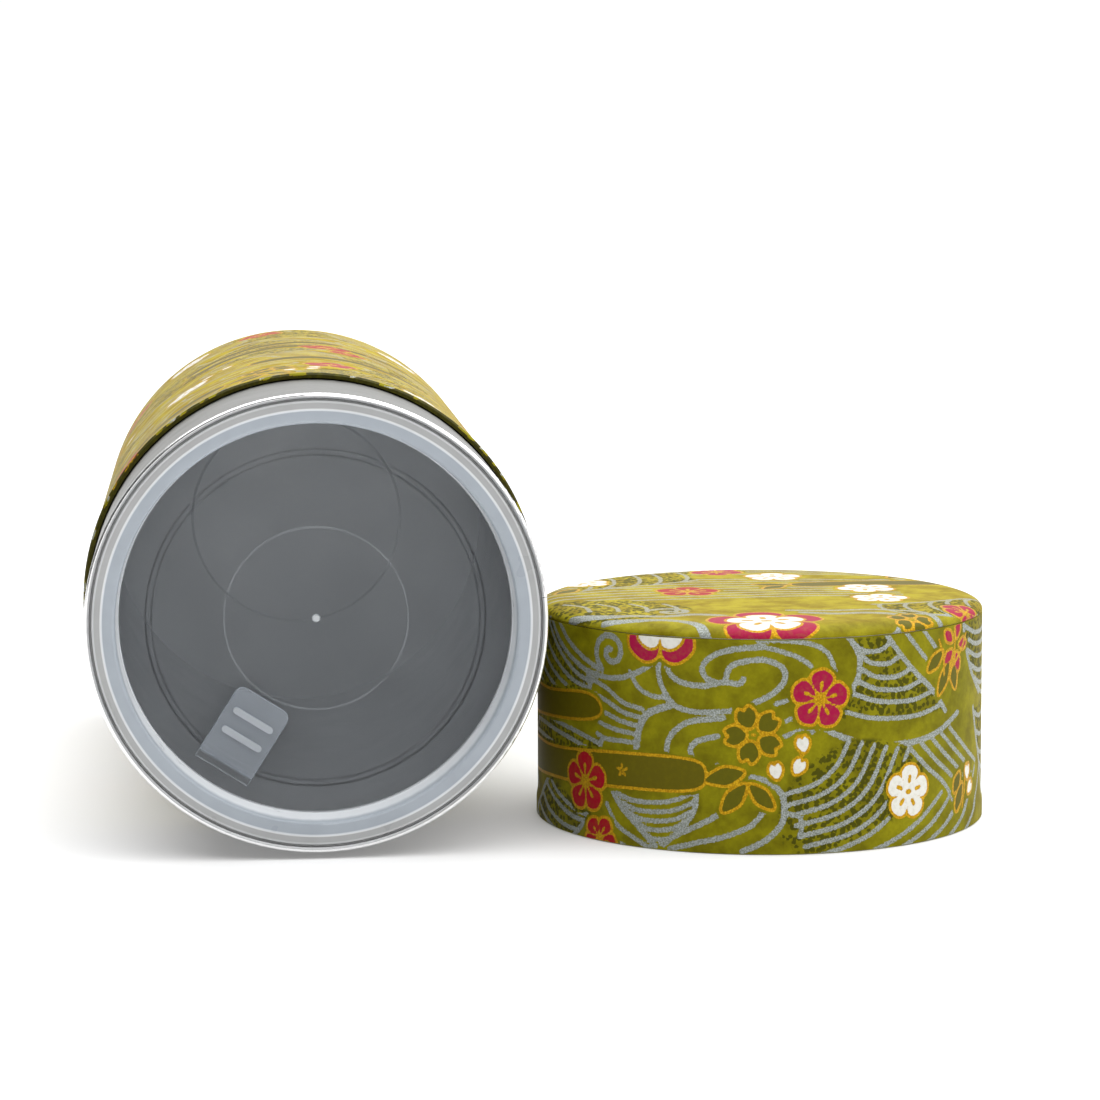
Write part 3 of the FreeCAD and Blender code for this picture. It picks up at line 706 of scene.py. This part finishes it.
def repeats(across, along, shift=0.0):
    """Offsets that repeat the sheet over a surface. Each row is shifted sideways from the one before."""
    return [np.array([i * SHEET_WIDTH + j * shift, j * SHEET_HEIGHT]) for i in across for j in along]


def finish_piece(piece, body, slot, material, *nodes):
    piece.data.materials.append(material)
    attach(piece, body)
    if nodes:
        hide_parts(*nodes)
    return piece


def sharp(piece, degrees=35):
    """Keep edges sharper than this crisp."""
    piece.data.set_sharp_from_angle(angle=math.radians(degrees))


def upright(radius, angle, height):
    """Cap: angle 0 faces the front, and grows to the right."""
    return np.stack([cap_axis.x / MM + radius * np.sin(angle),
                     cap_axis.y / MM - radius * np.cos(angle), height], -1)


def lying(radius, angle, height):
    """Can: angle 0 is the top, and grows to the right. Height is the distance behind the rim."""
    return np.stack([can_axis.x / MM + radius * np.sin(angle), rim_y / MM + height,
                     can_axis.z / MM + radius * np.cos(angle)], -1)


def cap_band(material):
    low, high = (corner.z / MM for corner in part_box("cap_paper_band"))
    outer = [(PAPER_RADIUS, low + 0.1), *hem_to_plain(low + HEM_FLAT, 0), (PLAIN_RADIUS, high - 0.12)]
    outer, _ = cross(outer, int((high - low) / GRAIN))
    under_hem, under = PAPER_RADIUS - PAPER, PLAIN_RADIUS - PAPER
    back = [(PLAIN_RADIUS - 0.05, high), (under, high), (under, HEM_LENGTH), (under_hem, HEM_LENGTH),
            (under_hem, low), (PAPER_RADIUS - 0.12, low)]
    angle = angles_round(GRAIN)
    inks = Print(unrolled(angle, outer[:, 1]), repeats((-1, 0, 1), (0,)))
    side_print(inks)

    # lower part of a large blossom, cut off by the seam at the cap's top
    inks.double_plum((-22.3, 37.6), 7.0, 18)
    piece = shell("cap_side_paper", outer, back, angle, upright, inks)
    sharp(piece)
    return finish_piece(piece, "cap", "printed_paper", material, "cap_paper_band")


def cap_disc(material):
    low, high = (corner.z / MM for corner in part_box("cap_paper_disc"))
    edge = span("cap_paper_disc").x / 2 / MM
    flat, rise = edge - SHOULDER_RUN, high - low - DOME_RISE

    # the face is a little fuller at the shoulder than the tin's arc, which the back follows
    quarter = np.linspace(0, math.pi / 2, SHOULDER_STEPS)
    shoulder = [(flat + SHOULDER_RUN * math.cos(a), low + rise * math.sin(a) ** 0.9) for a in quarter]
    dome = (DOME_BEND[0], high - DOME_BEND[1])
    outer, length = cross([*shoulder, dome, (PINHOLE, high)], int(edge / GRAIN))
    bend = (SHOULDER_RUN ** 2 + rise ** 2) / (2 * rise)
    lean = np.linspace(0, math.asin(SHOULDER_RUN / bend), SHOULDER_STEPS)[:-1]
    arc = [(flat + bend * math.sin(a) - 0.02, high - PAPER - DOME_RISE - bend * (1 - math.cos(a)))
           for a in lean]
    inner = [(PINHOLE, high - PAPER), *arc, (edge - PAPER, low)]

    angle = angles_round(GRAIN)
    reach = (length[-1] - length + PINHOLE)[:, None]
    places = np.stack([(reach * np.sin(angle)).ravel(), (-reach * np.cos(angle)).ravel()], 1)
    inks = Print(places, [np.zeros(2)])
    disc_print(inks)
    piece = shell("cap_top_paper", outer, inner, angle, upright, inks)
    return finish_piece(piece, "cap", "printed_paper_disc", material, "cap_paper_disc")


def can_wrap(material):
    low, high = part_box("can_paper")
    mouth, foot = (low.y - rim_y) / MM, (high.y - rim_y) / MM
    hem = mouth + PAPER
    fold = [(PAPER_RADIUS - inwards, mouth + behind) for inwards, behind in FOLD]
    outer, _ = cross([*fold[1:], *hem_to_plain(hem + HEM_FLAT, hem), (PLAIN_RADIUS, foot)],
                     int((foot - mouth) / SIDE_GRAIN))
    under_hem, under = PAPER_RADIUS - PAPER, PLAIN_RADIUS - PAPER
    neck = under_hem - 2 * TIN
    back = [(under, foot), (under, hem + HEM_LENGTH), (under_hem, hem + HEM_LENGTH), (under_hem, hem),
            (neck, hem), (neck, mouth), fold[0]]
    angle = angles_round(SIDE_GRAIN)
    places = unrolled(angle, outer[:, 1] - mouth)
    inks = Print(places, repeats((-2, -1, 0, 1), (0, 1, 2), ROW_SHIFT))
    side_print(inks)

    # painted shade: the paper is coloured dark next to the fold, up to a wavy edge set by its wrinkles
    turn = places[:, 0] / PAPER_RADIUS
    wrinkle = sum(np.sin(count * turn + start) for count, start in WRINKLES)
    fold_shaded = places[:, 1] < FOLD_SHADE_WIDTH + FOLD_WAVE * wrinkle
    inks.fill[fold_shaded] = FOLD_SHADE_FILL
    inks.ink[fold_shaded] = FOLD_SHADE_COLOUR
    piece = shell("can_side_paper", outer, back, angle, lying, inks, shaded_rows=2)
    sharp(piece)
    return finish_piece(piece, "can", "printed_paper", material, "can_paper")


# ---------------------------------------------------------------- printed paper

# Inks, each from where it lies thin to where it lies thick, and the painted sheen's gold, from dim to
# bright.
STIPPLE_INK = (0.040, 0.040, 0.001)
SILVER_THIN, SILVER_THICK = (0.175, 0.19, 0.165), (0.35, 0.375, 0.36)
GOLD_THIN, GOLD_THICK = (0.33, 0.17, 0.003), (0.58, 0.34, 0.012)
# painted sheen: a gold colour that stands in for the paper's gloss at a grazing angle, varied by its mottle
PAINTED_SHEEN_DIM, PAINTED_SHEEN_BRIGHT = (0.27, 0.18, 0.003), (0.40, 0.31, 0.014)


def ground_colour(n, mottle, fibre, sheen_colour, sheen, ground, pale, deep):
    """Mottled paper with fine fibres, and a painted sheen: a gold colour laid on where it is seen at a
    grazing angle.
    """
    colour = n.mix(n.ramp(mottle, 0.32, 0.68), deep, pale)
    colour = n.mix(n.ramp(fibre, 0.35, 0.7, 0.0, 0.55), colour, ground)
    # painted sheen laid over the ground at a grazing angle
    return n.mix(n.ramp(n.grazing(), 0.55, 0.9, 0, sheen), colour, sheen_colour)


def stipple_specks(n):
    """Specks that crowd together and thin out inside the stippled waves."""
    inside_wave = n.ramp(n.stored("stipple"), -0.7, 0.2, 1, 0)
    crowd = n.ramp(n.noise(4.5, 1), 0.32, 0.62, 0.37, 0.56)
    wobble = n.math("MULTIPLY", n.math("SUBTRACT", n.noise(0.55, 1), 0.5), 0.7)
    spot = n.math("ADD", n.spots(0.9), wobble)
    return n.math("MULTIPLY", inside_wave, n.ramp(n.math("SUBTRACT", spot, crowd), -0.05, 0.05, 1, 0))


def washi(name, ground, pale, deep, sheen):
    """Printed paper: mottled ground with fine fibres, silver, gold and coloured inks, stippled waves.

    sheen is how strong the painted sheen is: the gold colour laid on the ground and the silver where they
    are seen at a grazing angle."""
    n = Nodes(name)
    rough_edge = n.math("MULTIPLY", n.math("SUBTRACT", n.noise(0.35, 2, 0.6), 0.5), 0.55)
    mottle = n.noise(5.0, 4, 0.65)
    fibre = n.noise(0.5, 3, 0.6, stretch=(1, 0.35, 1), distortion=0.6)
    glint = n.noise(0.22, 1, 0.5)
    # colour of the painted sheen
    sheen_colour = n.mix(n.ramp(mottle, 0.35, 0.65), PAINTED_SHEEN_DIM, PAINTED_SHEEN_BRIGHT)
    colour = ground_colour(n, mottle, fibre, sheen_colour, sheen, ground, pale, deep)
    colour = n.mix(n.math("MULTIPLY", stipple_specks(n), 0.85), colour, STIPPLE_INK)

    silver = n.ramp(n.math("ADD", n.stored("silver"), rough_edge), -0.06, 0.08, 1, 0)
    silver = n.math("MULTIPLY", silver, n.ramp(glint, 0.25, 0.42, 0.6, 1.0))
    silver_colour = n.mix(n.ramp(glint, 0.35, 0.7), SILVER_THIN, SILVER_THICK)
    # painted sheen over the silver at a grazing angle
    silver_colour = n.mix(n.ramp(n.grazing(), 0.6, 0.95, 0, sheen * 0.6), silver_colour, sheen_colour)
    colour = n.mix(silver, colour, silver_colour)

    fill_edge = n.math("ADD", n.stored("fill"), n.math("MULTIPLY", rough_edge, 0.5))
    outline = n.ramp(fill_edge, GOLD_EDGE - 0.04, GOLD_EDGE + 0.06, 1, 0)
    gold_edge = n.math("ADD", n.stored("gold"), n.math("MULTIPLY", rough_edge, 0.6))
    gold_line = n.ramp(gold_edge, -0.04, 0.06, 1, 0)
    gold_colour = n.mix(n.ramp(n.noise(0.3, 2, 0.6), 0.35, 0.7), GOLD_THIN, GOLD_THICK)
    filled = n.ramp(fill_edge, -0.05, 0.05, 1, 0)
    worn_ink = n.mix(n.ramp(n.noise(0.8, 3, 0.7), 0.4, 0.75, 0.0, 0.2), n.stored("ink", "Color"), ground)
    colour = n.mix(outline, colour, gold_colour)
    colour = n.mix(filled, colour, worn_ink)
    colour = n.mix(gold_line, colour, gold_colour)

    gold = n.math("MAXIMUM", n.math("SUBTRACT", outline, filled, clamp=True), gold_line)
    metal = n.math("MAXIMUM", n.math("MULTIPLY", silver, 0.3), n.math("MULTIPLY", gold, 0.35))
    printed = n.math("MAXIMUM", silver, outline)
    grain = n.math("ADD", n.math("MULTIPLY", fibre, 0.25), n.math("MULTIPLY", glint, 0.12))
    n.set(Base_Color=colour, Metallic=n.math("MULTIPLY", metal, n.ramp(glint, 0.3, 0.6, 0.6, 1.0)),
          Roughness=n.ramp(printed, 0, 1, 0.6, 0.45), Specular_IOR_Level=0.07)
    n.bump(n.math("ADD", n.math("MULTIPLY", printed, 0.7), grain), 0.05, 0.7)
    return n.material


# ---------------------------------------------------------------- tinplate

# Painted light on the can's rolled rim: a painted highlight on its outer half, and painted shade on the
# half that dips towards the lid
RIM_HIGHLIGHT = (0.85, 0.85, 0.85)
SHADED_RIM = (0.36, 0.365, 0.37)    # on the half of the rolled rim that dips towards the lid
LACQUERED_METAL = 0.2          # how metallic a lacquered face still looks


def tinplate(name, colour, rough, brushed, lacquer=None, inside_base=None):
    """Rolled tinplate: fine brushing, stretched as brushed says, and faint smears.

    lacquer is the colour inside the can, whose rolled rim stays bare and gets a painted highlight on its
    outer half and painted shade on its inner half. inside_base is the colour of faces towards the mouth."""
    n = Nodes(name)
    lacquered = 0.0
    smear = n.noise(9.0, 3, 0.6)
    brush = n.noise(0.35, 2, 0.6, stretch=brushed)
    dim = tuple(c * 0.94 for c in colour)
    colour = n.mix(n.ramp(smear, 0.3, 0.7), dim, colour)
    smeared = n.ramp(smear, 0.3, 0.75, rough * 0.85, rough * 1.2)
    gloss = n.math("ADD", smeared, n.math("MULTIPLY", brush, 0.06))
    if lacquer:
        lacquered = n.facing_axis(can_axis)
        colour = n.mix(lacquered, colour, lacquer)
        beyond_rim = n.math("GREATER_THAN", n.along_y(n.place), rim_y + RIM_DEPTH * MM)
        # painted highlight on the rim's outer half, painted shade on its inner half
        outer_half = n.ramp(n.from_axis(can_axis)[0], (BEAD_MIDDLE - 0.1) * MM, (BEAD_MIDDLE + 0.05) * MM)
        colour = n.mix(beyond_rim, n.mix(outer_half, SHADED_RIM, RIM_HIGHLIGHT), colour)
        gloss = n.math("MULTIPLY", gloss, n.ramp(beyond_rim, 0, 1, 0.5, 1.0))
    if inside_base:
        lacquered = n.math("LESS_THAN", n.along_y(n.normal), -0.3)
        colour = n.mix(lacquered, colour, inside_base)
    metal = n.math("SUBTRACT", 1.0, n.math("MULTIPLY", lacquered, 1 - LACQUERED_METAL))
    n.set(Base_Color=colour, Metallic=metal, Roughness=gloss)
    n.bump(brush, 0.004, 0.5)
    return n.material


# ---------------------------------------------------------------- plastic

CAUGHT_LIGHT = (0.9, 0.92, 0.94)    # along the lid's fine moulded rings
# painted highlight on the tops of the tab's ribs
RIB_HIGHLIGHT = (0.8, 0.83, 0.86)
RING_GREY = (0.39, 0.43, 0.475)
FLANGE_GREY = (0.39, 0.395, 0.395)

# Zones of the lid beyond its panel, from the inside out: inner radius in mm, haze, colour.
LID_ZONES = ((31.7, 0.78, RING_GREY), (34.2, 0.85, FLANGE_GREY))

# Fine moulded rings on the lid: radius and width in mm, haze added, share of caught light.
LID_RINGS = ((35.5, 0.4, 0.05, 0.3), (34.2, 0.45, 0.1, 0.45), (31.75, 0.45, 0.2, 0.8),
             (27.3, 0.35, -0.07, 0), (26.4, 0.3, -0.05, 0), (14.8, 0.35, 0.05, 0.1), (0, 1.5, 0.35, 0.6))


def polyethylene(name, colour, haze, rough, zones=(), rings=(), ribs_y=None):
    """Hazy moulded plastic, slightly cloudy, satin. haze is how much it hides.

    Faces in front of ribs_y are the tops of ribs: they are made hazier, as thicker plastic, and get a
    painted highlight."""
    n = Nodes(name)
    cloud = n.noise(7.0, 3, 0.55)
    height = n.math("MULTIPLY", n.noise(1.6, 2, 0.5), 0.03)
    tint = n.mix(n.ramp(cloud, 0.3, 0.75), tuple(c * 0.93 for c in colour), colour)
    radius = n.from_axis(can_axis)[0]
    for start, zone_haze, zone_colour in zones:
        beyond = n.ramp(radius, (start - 0.15) * MM, (start + 0.15) * MM)
        before = n.math("SUBTRACT", 1.0, beyond)
        haze = n.math("ADD", n.math("MULTIPLY", haze, before), n.math("MULTIPLY", beyond, zone_haze))
        tint = n.mix(beyond, tint, zone_colour)
    for place, width, more_haze, light in rings:
        away = n.math("ABSOLUTE", n.math("SUBTRACT", radius, place * MM))
        there = n.ramp(away, 0.25 * width * MM, 0.6 * width * MM, 1, 0)
        haze = n.math("ADD", haze, n.math("MULTIPLY", there, more_haze))
        tint = n.mix(n.math("MULTIPLY", there, light), tint, CAUGHT_LIGHT)
        height = n.math("ADD", height, n.math("MULTIPLY", there, 0.3 * light))
    if ribs_y is not None:
        # rib tops: more haze for their thickness, and a painted highlight
        rib = n.math("LESS_THAN", n.along_y(n.place), ribs_y)
        haze = n.math("ADD", haze, n.math("MULTIPLY", rib, 0.2))
        tint = n.mix(n.math("MULTIPLY", rib, 0.5), tint, RIB_HIGHLIGHT)
    edge_on = n.math("MULTIPLY", n.ramp(n.grazing(), 0.15, 0.95), 0.5)
    haze = n.math("ADD", haze, edge_on, clamp=True)
    n.set(Base_Color=tint, Roughness=n.ramp(cloud, 0.3, 0.7, rough * 0.9, rough * 1.15),
          Alpha=n.math("MULTIPLY", haze, n.ramp(cloud, 0.3, 0.7, 0.96, 1.04)))
    n.bump(height, 0.2, 0.8)
    return n.material


EDGE_GAP = 0.01                # between the lid and the feathered edge, mm
EDGE_WIDTH = 0.2
EDGE_FRONT, EDGE_BACK = 0.5, 1.6    # how far behind the rim it starts and ends
EDGE_STEPS = 240


def lid_edge(material):
    """The feathered edge of the lid's moulding, which closes the gap to the rolled rim."""
    inner, outer = LID_RADIUS + EDGE_GAP, LID_RADIUS + EDGE_GAP + EDGE_WIDTH
    profile = [(inner, EDGE_FRONT - 0.15), (outer - 0.05, EDGE_FRONT), (outer, EDGE_FRONT + 0.1),
               (outer, EDGE_BACK), (inner, EDGE_BACK)]
    angle = np.linspace(-math.pi, math.pi, EDGE_STEPS, endpoint=False)
    rings = [lying(radius, angle, np.full(EDGE_STEPS, height)) for radius, height in profile]
    faces = []
    for ring in range(len(profile)):
        here, after = ring * EDGE_STEPS, (ring + 1) % len(profile) * EDGE_STEPS
        for step in range(EDGE_STEPS):
            beside = (step + 1) % EDGE_STEPS
            faces.append((here + step, here + beside, after + beside, after + step))
    mesh = bpy.data.meshes.new("lid_edge")
    mesh.from_pydata((np.vstack(rings) * MM).tolist(), [], faces)
    mesh.polygons.foreach_set("use_smooth", np.ones(len(faces), bool))
    piece = bpy.data.objects.new("lid_edge", mesh)
    bpy.context.scene.collection.objects.link(piece)
    sharp(piece)
    return finish_piece(piece, "lid", "lid_plastic", material)


def give(node, material):
    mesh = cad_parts[node].data
    mesh.materials.clear()
    mesh.materials.append(material)


# ---------------------------------------------------------------- studio

FLOOR_REACH = 60.0             # metres
FLOOR_GREY = (0.68, 0.68, 0.68)
FLOOR_GLOW = 0.2
LAMP_AIM = Vector((-0.12, 0.0, -1))
LAMP_STRENGTH = 4.0
LAMP_WIDTH = 100               # degrees of sky that the lamp covers

# The sky is bright towards one side and fades to the other.
SKY_BRIGHT_SIDE = (0.8, 0.55, 0.25)
SKY_FADE = {"From Min": -0.75, "From Max": 0.45, "To Min": 0.06, "To Max": 1.03}


def make_floor():
    mesh = bpy.data.meshes.new("floor")
    corners = [(-1, -1), (1, -1), (1, 1), (-1, 1)]
    mesh.from_pydata([(x * FLOOR_REACH, y * FLOOR_REACH, 0) for x, y in corners], [], [(0, 1, 2, 3)])
    floor = bpy.data.objects.new("floor", mesh)
    bpy.context.scene.collection.objects.link(floor)
    n = Nodes("floor_white")
    n.set(Base_Color=FLOOR_GREY, Roughness=0.7, Specular_IOR_Level=0.2, Emission_Color=(1, 1, 1),
          Emission_Strength=FLOOR_GLOW)
    mesh.materials.append(n.material)


def make_lamp():
    overhead = bpy.data.lights.new("overhead", "SUN")
    overhead.angle = math.radians(LAMP_WIDTH)
    overhead.energy = LAMP_STRENGTH
    lamp = bpy.data.objects.new("overhead", overhead)
    bpy.context.scene.collection.objects.link(lamp)
    lamp.rotation_euler = LAMP_AIM.to_track_quat("-Z", "Y").to_euler()


def make_sky():
    world = bpy.data.worlds.new("studio")
    bpy.context.scene.world = world
    world.use_nodes = True
    tree = world.node_tree
    towards = tree.nodes.new("ShaderNodeVectorMath")
    towards.operation = "DOT_PRODUCT"
    towards.inputs[1].default_value = SKY_BRIGHT_SIDE
    tree.links.new(tree.nodes.new("ShaderNodeTexCoord").outputs["Generated"], towards.inputs[0])
    strength = tree.nodes.new("ShaderNodeMapRange")
    for name, value in SKY_FADE.items():
        strength.inputs[name].default_value = value
    tree.links.new(towards.outputs["Value"], strength.inputs["Value"])
    background = tree.nodes["Background"]
    background.inputs["Color"].default_value = (1, 1, 1, 1)
    tree.links.new(strength.outputs["Result"], background.inputs["Strength"])


# ---------------------------------------------------------------- assembly

def make_papers():
    # All three are one paper. The brighter, yellower grounds of the top and the can, and their stronger
    # painted sheen, are painted light for how those faces are lit and seen.
    side = washi("washi_side", ground=(0.165, 0.148, 0.001), pale=(0.224, 0.204, 0.003),
                 deep=(0.112, 0.098, 0.0005), sheen=0.2)
    top = washi("washi_top", ground=(0.21, 0.18, 0.003), pale=(0.29, 0.26, 0.010),
                deep=(0.145, 0.115, 0.001), sheen=0.5)
    can = washi("washi_can", ground=(0.185, 0.168, 0.001), pale=(0.25, 0.23, 0.005),
                deep=(0.13, 0.112, 0.0005), sheen=0.9)
    cap_band(side)
    cap_disc(top)
    can_wrap(can)


def make_tin():
    # tin_neck is the same tinplate as tin_satin: its much darker colour is painted shade, for the grey the
    # neck shows when seen nearly edge on
    neck = tinplate("tin_neck", (0.235, 0.235, 0.225), 0.36, (0.06, 1, 0.06), lacquer=(0.46, 0.465, 0.475))
    base = tinplate("tin_base", (0.60, 0.60, 0.59), 0.42, (0.1, 0.1, 0.1), inside_base=(0.52, 0.53, 0.54))
    satin = tinplate("tin_satin", (0.68, 0.68, 0.67), 0.32, (0.06, 0.06, 1))
    give("lining_tube", neck)
    give("base_plate", base)
    for node in ("outer_tube", "cap_tube", "cap_top"):
        give(node, satin)


def make_plastic():
    lid = polyethylene("lid_haze", (0.56, 0.60, 0.64), 0.10, 0.3, zones=LID_ZONES, rings=LID_RINGS)
    ribs_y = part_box("pull_tab")[0].y + RIB_DEPTH * MM / 2
    tab = polyethylene("tab_haze", (0.41, 0.455, 0.51), 0.26, 0.3, ribs_y=ribs_y)
    give("inner_lid", lid)
    lid_edge(lid)
    give("pull_tab", tab)


make_camera()
make_papers()
make_tin()
make_plastic()
make_floor()
make_lamp()
make_sky()
bpy.context.scene.view_settings.view_transform = "Standard"
